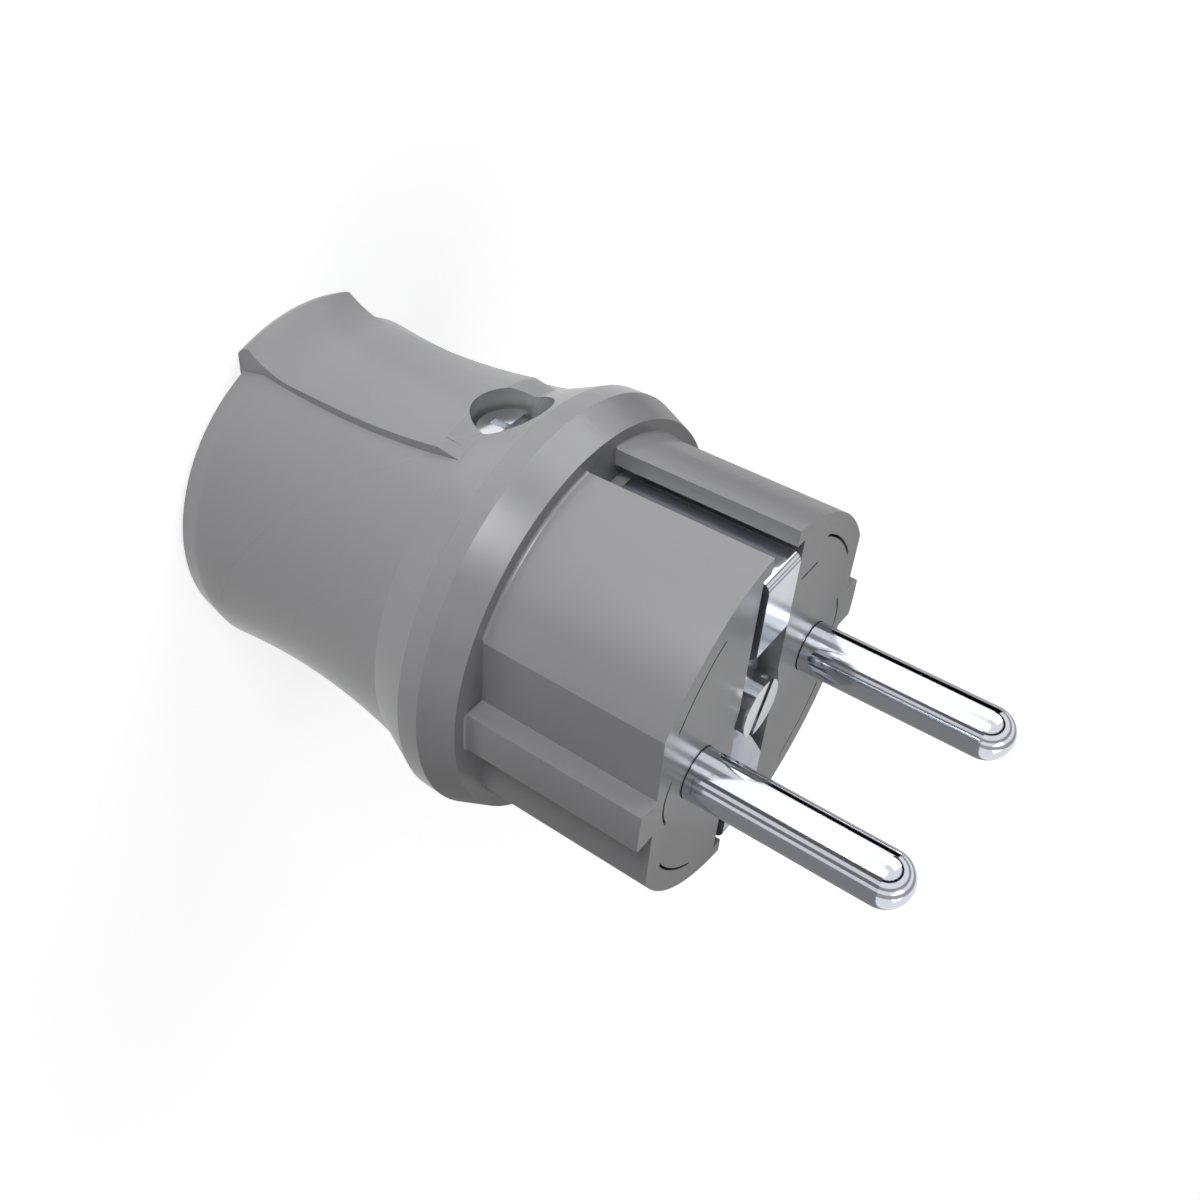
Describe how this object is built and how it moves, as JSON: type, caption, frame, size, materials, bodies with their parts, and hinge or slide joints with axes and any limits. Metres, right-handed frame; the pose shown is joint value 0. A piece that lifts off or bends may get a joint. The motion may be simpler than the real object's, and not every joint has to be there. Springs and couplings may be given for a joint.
{
  "type": "grounded plug",
  "caption": "Straight grounded power plug: round pins, side earth strips in grooves, flanged front housing and a rear hood with a finger pad.",
  "frame": {"origin": "centre of the flat rear end", "axes": "+Z along the pins towards their tips, +X from pin to pin, +Y towards the finger pad and the hood screw"},
  "size_m": [0.0414, 0.0414, 0.0725],
  "materials": {
    "housing_plastic": "semi-gloss moulded grey",
    "carrier_plastic": "semi-gloss moulded grey",
    "hood_plastic": "semi-gloss moulded grey",
    "pin_metal": "bright nickel plate on brass",
    "strip_metal": "bright nickel plate",
    "screw_steel": "bright zinc plate",
    "terminal_brass": "machined brass",
    "clamp_plastic": "matt dark grey",
    "grommet_rubber": "matt black rubber"
  },
  "bodies": {
    "root": {"front_housing": "housing_plastic", "contact_carrier": "carrier_plastic", "rear_hood": "hood_plastic", "pin_left": "pin_metal", "pin_right": "pin_metal", "pin_ring_left": "screw_steel", "pin_ring_right": "screw_steel", "pin_screw_left": "screw_steel", "pin_screw_right": "screw_steel", "earth_bracket": "strip_metal", "centre_screw": "screw_steel", "earth_terminal": "terminal_brass", "earth_clamp_washer": "screw_steel", "earth_terminal_screw": "screw_steel", "hood_screw": "screw_steel", "hood_screw_nut": "screw_steel", "cord_clamp": "clamp_plastic", "clamp_screw_left": "screw_steel", "clamp_screw_right": "screw_steel", "clamp_nut_left": "screw_steel", "clamp_nut_right": "screw_steel", "entry_grommet": "grommet_rubber"}
  },
  "joints": []
}
